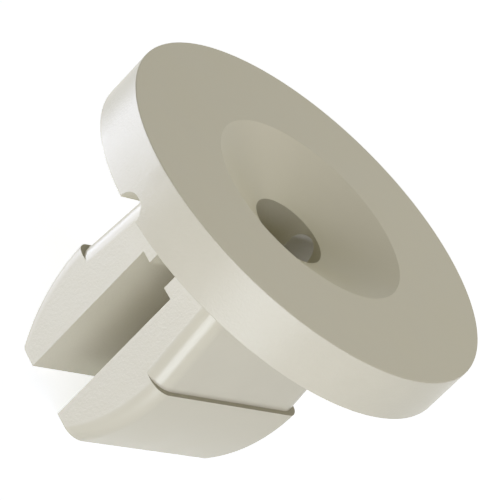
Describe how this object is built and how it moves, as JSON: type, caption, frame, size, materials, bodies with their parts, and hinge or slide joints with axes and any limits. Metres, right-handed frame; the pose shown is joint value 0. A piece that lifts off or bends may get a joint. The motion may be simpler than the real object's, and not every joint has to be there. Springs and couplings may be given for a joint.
{
  "type": "bumper retainer bushing",
  "caption": "Round dished head on two sprung, barbed legs split by a slot, with a screw bore between them; snaps into a panel hole and is spread by a screw.",
  "frame": {"origin": "on the axis of the screw bore, level with the underside of the head that seats on the panel", "axes": "+Z along the bore, out of the front face towards the screw's driver; the slot between the legs runs along Y; the barbed outer faces of the legs look along +X and -X"},
  "size_m": [0.02, 0.02, 0.0137],
  "materials": {
    "natural_nylon": "uncoloured moulded nylon, smooth front face and finely grained rim and legs"
  },
  "bodies": {
    "root": {"retainer_bushing": "natural_nylon"}
  },
  "joints": []
}
